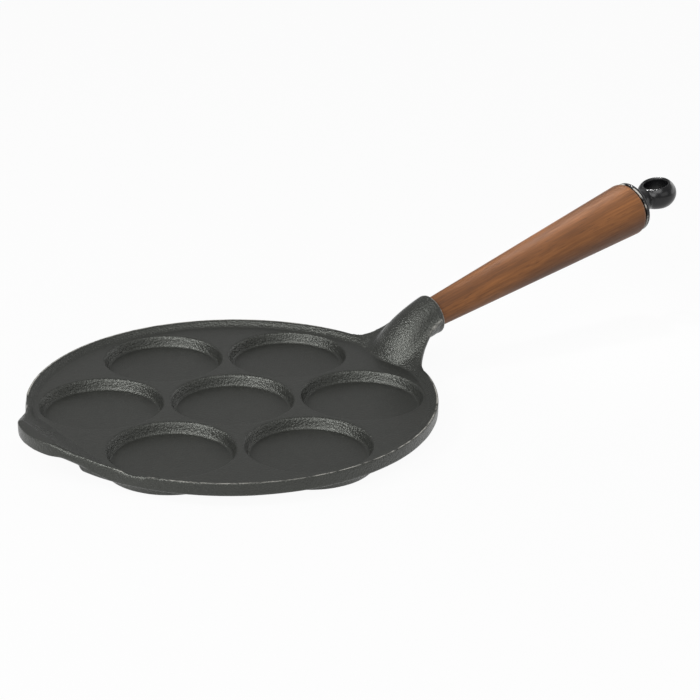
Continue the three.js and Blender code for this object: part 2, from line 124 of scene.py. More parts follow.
class NeckSizes(PropertyGroup):
    """Sizes of the neck between the rim and the socket"""

    half_width: length(14.8, "Waist", "Half width of the neck's waist")
    end_half_width: length(11.3, "End", "Half width at the socket")
    fillet: length(33, "Fillet", "Hollow round from the rim to the waist")
    shoulder_slope: slope(35, "Shoulder slope", "Rise of the shoulders off the rim")
    shoulder_inset: length(4, "Shoulder inset", "Start of the shoulders inside the rim")
    shoulder_end: length(3.5, "Shoulder end", "End of the shoulders over the handle's axis")
    web: length(8, "Web", "Thickness of the shoulders at the rim")
    waist_web: length(2.5, "Waist web", "Thickness of the shoulders at the waist")
    nose_inset: length(11, "Nose inset", "Foot of the nose inside the rim")
    nose_radius: length(20, "Nose radius", "Round of the nose at its foot")
    nose_flank: slope(63, "Nose flank", "Steepest slope of the nose's sides")
    nose_end: slope(21, "Nose end", "Rise of the nose at the socket")
    blend: length(4.5, "Blend", "Reach of the blend beside the nose")
    keel_inset: length(11, "Keel inset", "Start of the keel inside the rim")


class HandleSizes(PropertyGroup):
    """Sizes of the socket, the wooden grip and the rod through it"""

    start: length(140.1, "Start", "Handle's zero point along X")
    height: length(29.1, "Height", "Height of the handle's zero point")
    rise: slope(13, "Rise", "Rise of the handle's axis")
    socket_radius: length(12, "Socket radius", "Outside of the socket")
    socket_taper: length(2.8, "Socket taper", "Narrowing towards the neck")
    socket_lip: length(3, "Socket lip", "Mouth of the socket along the axis")
    socket_edge: length(1.1, "Socket edge", "Round of the socket's mouth")
    socket_shank: length(11, "Socket shank", "Length of the socket inside the neck")
    socket_depth: length(11, "Socket depth", "Depth of the hollow for the grip")
    grip_length: length(165.5, "Grip length", "End of the grip along the axis")
    grip_root: length(9, "Grip root", "Radius of the grip in the socket")
    grip_butt: length(16.9, "Grip butt", "Radius of the grip at its thick end")
    butt_round: length(3.6, "Butt round", "Round of the grip's thick end")
    rod_radius: length(4, "Rod radius", "Radius of the tie rod")
    neck_thread: length(12, "Neck thread", "Depth of the tapped hole in the neck")
    clearance: length(0.3, "Clearance", "Gap between pieces that touch")


class EyeSizes(PropertyGroup):
    """Sizes of the hanging eye"""

    flange: length(16, "Flange radius", "Radius of the flange")
    flange_edge: length(2.8, "Flange edge", "Thickness of the flange's edge")
    neck: length(8.1, "Neck radius", "Radius of the stem")
    neck_length: length(9, "Neck length", "End of the flange's sweep")
    centre: length(23.9, "Ring centre", "Ring's centre from the seat")
    ring: length(12.5, "Ring radius", "Radius of the ring's ball")
    bulge: length(10, "Ring bulge", "Half height of that ball")
    half_height: length(7.1, "Half height", "Half height of the ring")
    hole: length(7.4, "Hole radius", "Radius of the ring's hole")
    hole_round: length(2.6, "Hole round", "Round at the mouths of the hole")
    thread: length(13, "Thread", "Depth of the tapped hole")
    grain: length(0.32, "Mesh grain", "Size of the eye's mesh")


class Finishes(PropertyGroup):
    """Colours and gloss of the pan's materials"""

    iron: colour((0.013, 0.0135, 0.0118), "Iron", "Cast iron")
    iron_dark: colour((0.007, 0.0072, 0.0065), "Iron, dark", "Pits of the cast skin")
    # Pale iron painted on edges: specks on the rim's edge, and wear with a painted highlight on the
    # shoulders, the socket's mouth and the eye's flange.
    iron_pale_edge: colour((0.36, 0.35, 0.32), "Iron, worn", "Pale edges")
    iron_gloss: share(0.3, "Iron roughness", "Roughness of the cast skin")
    wood_light: colour((0.23, 0.089, 0.027), "Wood, light", "Pale walnut")
    wood_mid: colour((0.112, 0.043, 0.0145), "Wood, middle", "Walnut")
    wood_dark: colour((0.06, 0.025, 0.011), "Wood, dark", "Streaks and pores")
    wood_gloss: share(0.52, "Wood roughness", "Roughness of the oiled wood")
    black: colour((0.004, 0.004, 0.0045), "Black", "Lacquer of the eye")
    black_gloss: share(0.24, "Black roughness", "Roughness of the lacquer")
    steel: colour((0.5, 0.51, 0.52), "Steel", "Tie rod")


class StageSettings(PropertyGroup):
    """Camera, light and floor"""

    camera_place: FloatVectorProperty(
        name="Camera",
        description="Place of the camera",
        default=(-0.54695, -0.82529, 0.44155),
        subtype="TRANSLATION",
    )
    camera_azimuth: slope(-35.68, "Azimuth", "Turn of the camera round the pan")
    camera_elevation: slope(23.92, "Elevation", "Tilt of the camera")
    camera_roll: slope(0.344, "Roll", "Turn of the camera about its own axis")
    lens: FloatProperty(
        name="Lens", description="Focal length on a 36 mm sensor", default=99.16, unit="CAMERA"
    )
    shift: FloatVectorProperty(name="Shift", description="Lens shift", size=2, default=(0.0732, 0.0871))
    floor_colour: colour((0.4, 0.4, 0.4), "Floor", "Paper under the pan")
    floor_glow: share(0.95, "Floor glow", "Share of plain white in the floor's look")
    world_light: share(0.38, "World", "Light from all round")


def mode(name):
    bpy.ops.object.mode_set(mode=name)


def select(action):
    bpy.ops.mesh.select_all(action=action)


def clear_selection():
    if bpy.context.mode != "OBJECT":
        mode("OBJECT")
    bpy.ops.object.select_all(action="DESELECT")


def pick(piece):
    """Makes a piece the only selected and the active one."""
    clear_selection()
    piece.select_set(True)
    bpy.context.view_layer.objects.active = piece


def discard(piece):
    mesh = piece.data
    bpy.data.objects.remove(piece)
    bpy.data.meshes.remove(mesh)


def drawn(name, points):
    """A line drawn from point to point. It is left in edit mode, all selected."""
    clear_selection()
    bpy.ops.mesh.primitive_plane_add(size=MM)
    piece = bpy.context.object
    piece.name = name
    mode("EDIT")
    bpy.ops.mesh.merge(type="CENTER")
    bpy.ops.transform.translate(value=points[0])
    for here, there in zip(points, points[1:]):
        bpy.ops.mesh.extrude_region_move(TRANSFORM_OT_translate={"value": there - here})
    select("SELECT")
    return piece


def tidied(piece):
    """Cleans a mesh, turns its faces outwards and leaves edit mode."""
    select("SELECT")
    bpy.ops.mesh.remove_doubles(threshold=MM / 500)
    bpy.ops.mesh.dissolve_degenerate(threshold=MM / 1000)
    select("SELECT")
    bpy.ops.mesh.normals_make_consistent(inside=False)
    mode("OBJECT")
    return piece


def spun(name, profile, centre, axis, steps):
    """A profile spun once round an axis."""
    piece = drawn(name, profile)
    bpy.ops.mesh.spin(steps=steps, angle=2 * pi, center=centre, axis=axis)
    return tidied(piece)


def prism(name, outline, run):
    """A closed outline, filled and extruded."""
    piece = drawn(name, outline)
    bpy.ops.mesh.edge_face_add()
    bpy.ops.mesh.extrude_region_move(TRANSFORM_OT_translate={"value": run})
    return tidied(piece)


def skinned(name, rings):
    """A closed skin over rings of points: a grid wrapped round into a tube."""
    clear_selection()
    around = len(rings[0])
    bpy.ops.mesh.primitive_grid_add(x_subdivisions=around, y_subdivisions=len(rings) - 1, size=MM)
    piece = bpy.context.object
    piece.name = name
    for i, ring in enumerate(rings):
        for j in range(around + 1):
            piece.data.vertices[i * (around + 1) + j].co = ring[j % around]
    mode("EDIT")
    select("SELECT")
    bpy.ops.mesh.remove_doubles(threshold=MM / 500)
    select("DESELECT")
    bpy.ops.mesh.select_non_manifold()
    bpy.ops.mesh.fill_holes(sides=0)
    return tidied(piece)


def copied(piece, places):
    """A piece and its copies, one at each place, each with its own mesh."""
    pieces = []
    for place in places:
        pick(piece)
        bpy.ops.object.duplicate()
        bpy.ops.transform.translate(value=place)
        bpy.ops.object.transform_apply(location=True, rotation=False, scale=False)
        pieces.append(bpy.context.object)
    discard(piece)
    return pieces


def joined(pieces):
    clear_selection()
    for piece in pieces:
        piece.select_set(True)
    bpy.context.view_layer.objects.active = pieces[0]
    bpy.ops.object.join()
    return bpy.context.object


def finished(piece, kind, **settings):
    """Adds a modifier and applies it."""
    modifier = piece.modifiers.new(kind.title(), kind)
    for name, value in settings.items():
        setattr(modifier, name, value)
    pick(piece)
    bpy.ops.object.modifier_apply(modifier=modifier.name)
    return piece


def combined(body, operation, *others):
    """Adds other solids to a body, or cuts them from it."""
    for other in others:
        finished(body, "BOOLEAN", operation=operation, object=other, solver="MANIFOLD")
        discard(other)
    return body


def curve(start, corner, end, steps):
    """Points of a quadratic curve between two points."""
    points = []
    for i in range(steps + 1):
        t = i / steps
        points.append(start * (1 - t) ** 2 + corner * (2 * t * (1 - t)) + end * t**2)
    return points


def arc(centre, radius, start, end, steps):
    """Points of a level arc."""
    turns = [start + (end - start) * i / steps for i in range(steps + 1)]
    return [Vector((centre.x + radius * cos(a), centre.y + radius * sin(a), centre.z)) for a in turns]


def flat(x, z):
    """A point in the upright plane through the handle."""
    return Vector((x, 0, z))


def clamp(value):
    return max(0.0, min(1.0, value))


def mixed(a, b, t):
    return a + (b - a) * t


def eased(x, low, high):
    """0 below low and 1 above high, eased between them."""
    t = clamp((x - low) / (high - low))
    return t * t * (3 - 2 * t)


def plateau(x, start, full, fade, end):
    """1 from full to fade, eased to 0 at start and at end."""
    return eased(x, start, full) * (1 - eased(x, fade, end))


def eased_max(a, b, reach):
    """Larger of two heights, eased over a reach."""
    t = clamp(0.5 + 0.5 * (a - b) / reach)
    return mixed(b, a, t) + reach * t * (1 - t)


def eased_min(a, b, reach):
    return -eased_max(-a, -b, reach)


def rising_arc(foot, end, end_rise, x):
    """Height at x on the arc that leaves a foot and comes to an end point at a given rise."""
    chord = end - foot
    turn = atan2(chord.z, chord.x) - end_rise
    radius = chord.length / (2 * sin(turn))
    centre = end + flat(sin(end_rise), -cos(end_rise)) * radius
    run = min(centre.x - max(x, foot.x), radius)
    return centre.z + sqrt(radius**2 - run**2)


def bar_drop(radius, offset, flank):
    """Drop of a round bar's surface beside its crown, with straight flanks lower down."""
    inside = min(abs(offset), radius * sin(flank))
    return radius - sqrt(radius**2 - inside**2) + (abs(offset) - inside) * tan(flank)


def at(along, off):
    """A point of a profile."""
    return Vector((along, off))


def handle_axes(handle):
    """Directions along the handle and up from it."""
    c, s = cos(handle.rise), sin(handle.rise)
    return flat(c, s), flat(-s, c)


def handle_point(handle, along, off):
    """A point along the handle's axis and off it, in the upright plane."""
    c, s = cos(handle.rise), sin(handle.rise)
    return flat(handle.start + along * c - off * s, handle.height + along * s + off * c)


def handle_spun(handle, name, profile, steps):
    """A profile of (along, radius) pairs, spun round the handle's axis."""
    points = [handle_point(handle, along, off) for along, off in profile]
    return spun(name, points, handle_point(handle, 0, 0), handle_axes(handle)[0], steps)


def plate_with_rim(pan):
    top, bottom = pan.plate_top, pan.plate_top - pan.plate_thickness
    crest, edge, radius = top + pan.rim_height, pan.rim_edge, pan.rim_radius
    wall = radius - edge
    profile = [flat(0, bottom)]
    profile += curve(flat(wall, bottom), flat(radius, bottom), flat(radius, bottom + edge), 5)
    profile += curve(flat(radius, crest - edge), flat(radius, crest), flat(wall - edge, crest - edge), 8)
    foot, tangent = flat(radius - pan.rim_slope, top), 0.4
    up_slope = (profile[-1] - foot).normalized() * pan.rim_foot * tangent
    profile += curve(foot + up_slope, foot, foot - X * pan.rim_foot * tangent, 5)
    profile.append(flat(0, top))
    return spun("plate", profile, (0, 0, 0), Z, 288)


def well_places(pan):
    turns = [(i + 0.5) * 2 * pi / pan.outer_wells for i in range(pan.outer_wells)]
    return [Vector()] + [Vector((cos(a), sin(a), 0)) * pan.well_pitch for a in turns]


def well_hollow(pan):
    """Hollow of one well, with a round foot and a mouth that rolls over into the plate."""
    above, roll = pan.plate_top + 1.5 * MM, 0.02 * MM
    foot, mouth = flat(pan.well_foot, pan.well_floor), flat(pan.well_mouth, pan.plate_top)
    up = (mouth - foot).normalized()
    profile = [flat(0, pan.well_floor)]
    profile += curve(foot - X * pan.well_fillet, foot, foot + up * pan.well_fillet, 7)
    profile += curve(mouth - up * pan.well_edge, mouth, mouth + X * pan.well_edge + Z * roll, 7)
    profile += [flat(profile[-1].x, above), flat(0, above)]
    return spun("well_hollow", profile, (0, 0, 0), Z, 160)


def well_boss(pan):
    """Iron under one well."""
    foot, top = pan.well_foot + pan.boss_wall, pan.well_mouth + pan.boss_wall
    root = pan.plate_top - pan.plate_thickness / 2
    edge = pan.boss_edge
    profile = [flat(0, 0)]
    profile += curve(flat(foot - edge, 0), flat(foot, 0), flat(foot, edge), 5)
    profile += [flat(top, root), flat(0, root)]
    return spun("well_boss", profile, (0, 0, 0), Z, 160)


def pad_height(pan, lip, distance):
    """Height of the pad at a distance from the axis."""
    return pan.plate_top + (distance - pan.rim_radius + lip.pad_inset) * tan(lip.pad_slope)


def lip_top(pan, lip):
    return pad_height(pan, lip, pan.rim_radius + lip.reach - lip.border) + lip.border_step


def lip_undercut(pan, lip):
    """Side outline of the space under the lip."""
    bottom, tip = pan.plate_top - pan.plate_thickness, pan.rim_radius + lip.reach
    foot, ceiling = pan.rim_radius - lip.pad_inset, lip_top(pan, lip) - lip.face
    floor = bottom - lip.wall
    start = foot + (bottom + lip.wall - pan.plate_top) / tan(lip.pad_slope)
    level = foot + (ceiling + lip.wall - pan.plate_top) / tan(lip.pad_slope)
    outer = -tip - lip.reach
    rise = [flat(-start, floor), flat(-start, bottom), flat(-level, ceiling)]
    return rise + [flat(outer, ceiling), flat(outer, floor)]


def run_across(name, outline, width):
    """A side outline run across the pan."""
    return prism(name, [point - Y * width / 2 for point in outline], Y * width)


def lip_outline(pan, lip, fillet):
    """Plan of the lip, from one side of the rim to the other, hollow at each side."""
    tip, base = pan.rim_radius + lip.reach, pan.plate_top - pan.plate_thickness + pan.rim_edge
    end = Vector((lip.end_radius - tip, 0, base))
    rim_gap, end_gap = pan.rim_radius - RIM_OVERLAP + fillet, lip.end_radius + fillet
    x = (end_gap**2 - rim_gap**2 - end.x**2) / (-2 * end.x)
    hollow = Vector((x, sqrt(rim_gap**2 - x**2), base))
    to_rim, to_end = atan2(-hollow.y, -hollow.x), atan2(-hollow.y, end.x - hollow.x)
    spread = atan2(hollow.y, hollow.x - end.x)
    side = arc(hollow, fillet, to_rim, to_end, 14)
    other_side = [Vector((p.x, -p.y, p.z)) for p in reversed(side)]
    return side + arc(end, lip.end_radius, spread, 2 * pi - spread, 44)[1:-1] + other_side


def edged_prism(name, outline, height, edge):
    """A prism with its level edges rounded."""
    piece = prism(name, outline, Z * height)
    pick(piece)
    mode("EDIT")
    select("DESELECT")
    mode("OBJECT")
    for line in piece.data.edges:
        heights = [piece.data.vertices[i].co.z for i in line.vertices]
        line.select = abs(heights[0] - heights[1]) < MM / 10
    mode("EDIT")
    bpy.ops.mesh.select_mode(type="EDGE")
    bpy.ops.mesh.bevel(offset=edge, segments=6, affect="EDGES", clamp_overlap=True)
    bpy.ops.mesh.select_mode(type="VERT")
    return tidied(piece)


def finger_lip(pan, lip):
    """A round tongue with a sloping pad, a border beyond it, a skirt along the rim and an undercut."""
    tip = pan.rim_radius + lip.reach
    outline = lip_outline(pan, lip, lip.side_fillet)
    base, top = outline[0].z, lip_top(pan, lip)
    foot_x = lip.pad_inset - pan.rim_radius
    feet = [Vector((foot_x, outline[i].y, base)) for i in (0, -1)]
    tongue = edged_prism("finger_lip", [feet[0]] + outline + [feet[1]], top - base, lip.edge)
    crest, inner = -tip + lip.border, foot_x + lip.reach
    above = top + lip.reach
    pad = [flat(x, pad_height(pan, lip, -x)) for x in (crest, inner)]
    pad += [flat(inner, above), flat(crest, above)]
    width = 2 * pan.rim_radius
    combined(tongue, "DIFFERENCE", run_across("above_pad", pad, width))
    plan = lip_outline(pan, lip, lip.skirt_fillet)
    turn, inner = atan2(plan[-1].y, plan[-1].x), pan.rim_radius - 2 * pan.rim_edge
    plan += arc(Vector((0, 0, base)), inner - pan.rim_edge, turn, -2 * pi - turn, 44)
    skirt = prism("lip_skirt", plan, Z * (top - base))
    rim_top = pan.plate_top + pan.rim_height
    bowl = [flat(0, rim_top), flat(inner, rim_top), flat(inner + 2 * lip.reach, rim_top + 1.5 * lip.reach)]
    combined(skirt, "DIFFERENCE", spun("bowl", bowl + [flat(0, bowl[-1].z)], (0, 0, 0), Z, 288))
    combined(tongue, "UNION", skirt)
    level, side = lip.level_half, abs(plan[0].y)
    end = [(level, top), (side, rim_top), (width, rim_top), (width, above), (level, above)]
    for way in (1, -1):
        outline = [Vector((-2 * tip, way * y, z)) for y, z in end]
        combined(tongue, "DIFFERENCE", prism("above_end", outline, X * 2 * tip))
    return combined(tongue, "DIFFERENCE", run_across("undercut", lip_undercut(pan, lip), width))


def finger_hollow(pan, lip):
    """The undercut carried on into the rim, with slanting ends."""
    floor = pan.plate_top - pan.plate_thickness - lip.wall
    top = lip_top(pan, lip)
    half = lip.finger_width / 2 + lip.wall / tan(lip.finger_slope)
    upper = half - (top - floor) / tan(lip.finger_slope)
    far = -pan.rim_radius - 2 * lip.reach
    arch = [Vector((far, y, z)) for y, z in ((-half, floor), (half, floor), (upper, top), (-upper, top))]
    hollow = run_across("finger_hollow", lip_undercut(pan, lip), 2 * pan.rim_radius)
    return combined(hollow, "INTERSECT", prism("finger_arch", arch, X * (-pan.well_pitch - far)))


class NeckShape:
    """Heights and widths of the neck along X."""

    def __init__(self, pan, neck, handle):
        self.pan, self.neck, self.handle = pan, neck, handle
        self.bottom = pan.plate_top - pan.plate_thickness
        self.crest = pan.plate_top + pan.rim_height
        self.hollow_gap = pan.rim_radius - RIM_OVERLAP + neck.fillet
        self.hollow_y = neck.half_width + neck.fillet
        self.waist = sqrt(self.hollow_gap**2 - self.hollow_y**2)
        self.end = handle_point(handle, handle.socket_lip, handle.socket_radius).x - handle.socket_edge
        self.nose_foot = pan.rim_radius - neck.nose_inset
        self.keel_start = pan.rim_radius - neck.keel_inset

    def half_width(self, x):
        """A hollow round to the waist, then narrower to the socket."""
        neck = self.neck
        inside = min(self.waist - x, self.waist * neck.fillet / self.hollow_gap)
        if inside > 0:
            return self.hollow_y - sqrt(neck.fillet**2 - inside**2)
        return mixed(neck.half_width, neck.end_half_width, (inside / (self.waist - self.end)) ** 3)

    def shoulder(self, x):
        neck, handle = self.neck, self.handle
        run = x - self.pan.rim_radius + neck.shoulder_inset
        start = 3 * MM
        if run < start:
            run = max(run + start, 0) ** 2 / (4 * start)
        ramp = self.crest + run * tan(neck.shoulder_slope)
        end = handle.height + (x - handle.start) * tan(handle.rise) + neck.shoulder_end
        return eased_min(ramp, end, neck.blend)

    def web(self, x):
        thickness = mixed(self.neck.web, self.neck.waist_web, eased(x, self.keel_start, self.waist))
        return self.shoulder(x) - thickness

    def rim_slope(self, x, y):
        """Height of the slope inside the shoulders, which follows the rim."""
        rise, inset_by_nose, inset_beside = 0.75, 8.5, 5.6
        inset = mixed(inset_by_nose, inset_beside, eased(abs(y), 10 * MM, 30 * MM)) * MM
        return self.pan.plate_top + (hypot(x, y) - (self.pan.rim_radius - inset)) * rise

    def top(self, x, y):
        """Upper side: the nose, blended into the shoulders."""
        pan, neck = self.pan, self.neck
        end = handle_point(self.handle, 0, self.handle.socket_radius)
        crown = rising_arc(flat(self.nose_foot, pan.plate_top), end, neck.nose_end, x)
        radius = mixed(neck.nose_radius, self.handle.socket_radius, eased(x, self.nose_foot, self.end))
        nose = crown - bar_drop(radius, y, neck.nose_flank)
        side = eased_min(self.shoulder(x), self.rim_slope(x, y), 2 * MM)
        return max(eased_max(nose, side, neck.blend), pan.plate_top - pan.plate_thickness / 2)

    def under(self, x, y):
        end = handle_point(self.handle, 0, -self.handle.socket_radius)
        keel = rising_arc(flat(self.keel_start, self.bottom), end, self.handle.rise, x)
        bar = keel + bar_drop(self.handle.socket_radius, y, self.neck.nose_flank)
        return max(eased_min(bar, self.web(x), self.neck.blend), self.bottom + self.pan.rim_edge)


def neck_body(pan, neck, handle):
    """Shoulders, nose and keel as one skin from inside the plate to the socket."""
    shape = NeckShape(pan, neck, handle)
    sections, across = 72, 64
    start = shape.nose_foot - neck.shoulder_inset
    rings = []
    for i in range(sections + 1):
        x = mixed(start, shape.end, i / sections)
        half = shape.half_width(x)
        places = [half * sin(pi / 2 * (2 * j / across - 1)) for j in range(across + 1)]
        ring = [Vector((x, y, shape.top(x, y))) for y in places]
        ring += [Vector((x, y, shape.under(x, y))) for y in reversed(places)]
        rings.append(ring)
    return skinned("neck", rings)


def socket_body(handle):
    """A short bulb with a rounded mouth."""
    radius, lip, edge = handle.socket_radius, handle.socket_lip, handle.socket_edge
    root = at(-handle.socket_shank, radius - handle.socket_taper)
    profile = [at(-handle.socket_shank, 0)]
    profile += curve(root, at(-lip, radius), at(lip - edge, radius), 10)
    profile += curve(at(lip - edge, radius), at(lip, radius), at(lip, radius - edge), 6)[1:]
    profile.append(at(lip, 0))
    return handle_spun(handle, "socket", profile, 128)


def socket_hollow(handle):
    """Room for the grip's end, with the tapped hole below it."""
    cup, hole = handle.grip_root + handle.clearance, handle.rod_radius + handle.clearance
    lip, lead = handle.socket_lip, 0.5 * MM
    floor, mouth = lip - handle.socket_depth, 2 * lip
    end, wide = floor - handle.neck_thread, cup + 2 * lead
    profile = [(end, 0), (end, hole), (floor, hole), (floor, cup), (lip - lead, cup)]
    profile += [(lip + lead, wide), (mouth, wide), (mouth, 0)]
    return handle_spun(handle, "socket_hollow", profile, 128)


def thinned(piece, triangles):
    """Fewer triangles, with the normals of the larger faces."""
    piece.data.calc_loop_triangles()
    ratio = triangles / len(piece.data.loop_triangles)
    if ratio < 1:
        finished(piece, "DECIMATE", ratio=ratio)
    pick(piece)
    bpy.ops.object.shade_smooth()
    return finished(piece, "WEIGHTED_NORMAL", mode="FACE_AREA", weight=60, keep_sharp=False)


def weigh(piece, name, weight):
    """A vertex group whose weights come from each vertex's place."""
    group = piece.vertex_groups.new(name=name)
    for vertex in piece.data.vertices:
        value = weight(vertex.co)
        if value > 0:
            group.add([vertex.index], value, "REPLACE")


def marked(piece, name, weight):
    """A number on each vertex, for its material."""
    values = piece.data.attributes.new(name, "FLOAT", "POINT")
    values.data.foreach_set("value", [weight(vertex) for vertex in piece.data.vertices])


def uneven(piece, scale, strength):
    """The slight unevenness of a cast skin."""
    clouds = bpy.data.textures.new(piece.name + "_unevenness", "CLOUDS")
    clouds.noise_scale = scale
    clouds.noise_depth = 2
    settings = {"texture": clouds, "texture_coords": "LOCAL", "strength": strength, "mid_level": 0.5}
    return finished(piece, "DISPLACE", **settings)


def on_body(piece, node):
    """Stands a finished piece in for its CAD node."""
    clear_selection()
    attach(piece, "root")
    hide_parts(node)


class Nodes:
    """Short calls to build a node material."""

    def __init__(self, name):
        self.material = bpy.data.materials.new(name)
        self.material.use_nodes = True
        self.tree = self.material.node_tree
        self.shader = self.tree.nodes["Principled BSDF"]

    def add(self, kind, inputs=None, **settings):
        node = self.tree.nodes.new("ShaderNode" + kind)
        for name, value in settings.items():
            setattr(node, name, value)
        for name, value in (inputs or {}).items():
            self.put(node.inputs[name], value)
        return node

    def put(self, socket, value):
        if isinstance(value, NodeSocket):
            self.tree.links.new(value, socket)
        else:
            socket.default_value = value

    def math(self, operation, *values):
        node = self.add("Math", operation=operation)
        for i, value in enumerate(values):
            self.put(node.inputs[i], value)
        return node.outputs[0]

    def times(self, first, *others):
        for other in others:
            first = self.math("MULTIPLY", first, other)
        return first

    def plus(self, a, b):
        return self.math("ADD", a, b)

    def rest(self, value):
        """What a share leaves of 1."""
        return self.math("SUBTRACT", 1.0, value)

    def attribute(self, name):
        return self.add("Attribute", attribute_name=name).outputs["Fac"]

    def scaled(self, vector, scale):
        return self.add("VectorMath", {0: vector, 1: scale}, operation="MULTIPLY").outputs["Vector"]

    def noise(self, vector, scale, detail=2.0, roughness=0.5, distortion=0.0):
        inputs = {"Vector": vector, "Scale": scale, "Detail": detail}
        inputs |= {"Roughness": roughness, "Distortion": distortion}
        return self.add("TexNoise", inputs).outputs["Fac"]

    def ramp(self, value, low, high):
        """A value spread from 0 at low to 1 at high."""
        inputs = {"Value": value, "From Min": low, "From Max": high}
        return self.add("MapRange", inputs, interpolation_type="SMOOTHSTEP").outputs["Result"]

    def blend(self, factor, a, b):
        node = self.add("Mix", data_type="RGBA")
        self.put(node.inputs["Factor"], factor)
        for name, value in (("A", a), ("B", b)):
            self.put(node.inputs[name], value if isinstance(value, NodeSocket) else (*value, 1))
        return node.outputs["Result"]

    def place(self):
        return self.add("TexCoord").outputs["Object"]

    def bump(self, height, distance, strength):
        inputs = {"Height": height, "Distance": distance, "Strength": strength}
        return self.add("Bump", inputs).outputs["Normal"]

    def surface(self, **inputs):
        for name, value in inputs.items():
            if isinstance(value, tuple) and len(value) == 3:
                value = (*value, 1)
            self.put(self.shader.inputs[name.replace("_", " ")], value)
        return self.material


def shaded(rgb, amount):
    """A colour made darker or lighter."""
    return tuple(c * amount for c in rgb)


def pale_rim_edge(n, place, pan):
    """Where the rim's outer top edge is painted pale in specks, away from the neck."""
    x, y, z = n.add("SeparateXYZ", {"Vector": place}).outputs
    across = n.add("CombineXYZ", {"X": x, "Y": y}).outputs["Vector"]
    radius = n.add("VectorMath", {0: across}, operation="LENGTH").outputs["Value"]
    edge, crest = pan.rim_radius - 0.75 * pan.rim_edge, pan.plate_top + pan.rim_height
    off_edge = n.math("ABSOLUTE", n.math("SUBTRACT", radius, edge))
    near = n.rest(n.ramp(off_edge, 0.1 * MM, 0.6 * MM))
    high = n.ramp(z, crest - 1.1 * MM, crest - 0.6 * MM)
    below = n.rest(n.ramp(z, crest + 0.1 * MM, crest + 0.3 * MM))
    # Specks where the rim's edge is painted pale.
    pale = n.ramp(n.noise(place, 140, 4, 0.7), 0.34, 0.6)
    off_neck = n.rest(n.ramp(x, pan.rim_radius - 15 * MM, pan.rim_radius - 8 * MM))
    return n.times(near, high, below, pale, off_neck)


def iron_material(finish, pan):
    """Sand-cast iron: a pebbled dark skin, smoother on the level faces, with pale edges: specks on the rim's
    edge, and wear with a painted highlight on the shoulders' edges and the socket's mouth.
    """
    n = Nodes("cast_iron")
    place = n.place()
    level = n.ramp(n.attribute("level"), 0.9, 0.995)
    pebbles = n.add("TexVoronoi", {"Vector": place, "Scale": 780.0, "Randomness": 1.0})
    sand = n.noise(place, 1050, 3, 0.7)
    grain = n.plus(n.times(pebbles.outputs["Distance"], 0.6), n.times(sand, 0.9))
    patches = n.noise(place, 55, 3, 0.6)
    mottle = n.ramp(n.noise(place, 320, 3, 0.65), 0.35, 0.7)
    base = n.blend(n.times(mottle, 0.5), finish.iron, finish.iron_dark)
    base = n.blend(n.times(n.ramp(patches, 0.45, 0.75), 0.35), base, shaded(finish.iron, 1.35))
    # Shoulder edges and the socket's mouth are painted pale in specks: wear, and a painted highlight.
    wear_and_glints = n.ramp(n.noise(place, 420, 3, 0.7), 0.34, 0.62)
    pale_edges = n.math("MAXIMUM", pale_rim_edge(n, place, pan), n.times(n.attribute("edge"), wear_and_glints))
    base = n.blend(n.times(pale_edges, 0.85), base, finish.iron_pale_edge)
    strength = n.rest(n.times(level, 0.68))
    normal = n.bump(n.times(grain, strength), 0.5 * MM, 0.75)
    rough = n.plus(n.times(patches, 0.16), finish.iron_gloss - 0.08)
    rough = n.plus(rough, n.times(level, 0.08))
    tint = (0.97, 1.0, 0.93)
    return n.surface(Base_Color=base, Roughness=rough, Normal=normal, IOR=1.6, Specular_Tint=tint)


def wood_material(finish, handle):
    """Oiled walnut with the grain along the handle."""
    n = Nodes("walnut")
    start, turn = (handle.start, 0, handle.height), (0, -handle.rise, 0)
    inputs = {"Vector": n.place(), "Location": start, "Rotation": turn}
    along = n.add("Mapping", inputs, vector_type="TEXTURE").outputs["Vector"]

    def stretched(x, yz):
        return n.scaled(along, (x, yz, yz))

    broad = n.ramp(n.noise(stretched(5, 70), 1.0, 2, 0.5, 0.3), 0.36, 0.66)
    bands = n.ramp(n.noise(stretched(8, 430), 1.0, 3, 0.6, 0.2), 0.44, 0.72)
    fibre = n.ramp(n.noise(stretched(24, 1100), 1.0, 3, 0.6), 0.3, 0.72)
    pores = n.ramp(n.noise(stretched(60, 1500), 1.0, 2, 0.5), 0.6, 0.7)
    base = n.blend(broad, finish.wood_mid, finish.wood_light)
    base = n.blend(n.times(bands, 0.42), base, finish.wood_dark)
    base = n.blend(n.times(fibre, 0.42), base, shaded(finish.wood_mid, 0.62))
    base = n.blend(n.times(pores, 0.55), base, finish.wood_dark)
    normal = n.bump(n.math("SUBTRACT", n.times(fibre, 0.25), pores), 0.12 * MM, 0.35)
    rough = n.plus(n.times(fibre, 0.12), finish.wood_gloss - 0.06)
    return n.surface(Base_Color=base, Roughness=rough, Normal=normal, IOR=1.36)


def black_material(finish):
    """Gloss black lacquer over a cast eye."""
    n = Nodes("black_lacquer")
    place = n.place()
    peel = n.noise(place, 420, 2, 0.5)
    dust = n.ramp(n.noise(place, 1900, 2, 0.6), 0.62, 0.8)
    base = n.blend(n.times(dust, 0.3), finish.black, shaded(finish.black, 3))
    # The flange's edge by the wood is painted pale in specks: wear, and a painted highlight.
    wear_and_glints = n.ramp(n.noise(place, 130, 3, 0.6), 0.42, 0.58)
    base = n.blend(n.times(n.attribute("edge"), wear_and_glints), base, finish.iron_pale_edge)
    normal = n.bump(peel, 0.25 * MM, 0.1)
    rough = n.plus(n.times(n.noise(place, 90, 3, 0.6), 0.16), finish.black_gloss - 0.08)
    return n.surface(Base_Color=base, Roughness=rough, Normal=normal, IOR=1.45)


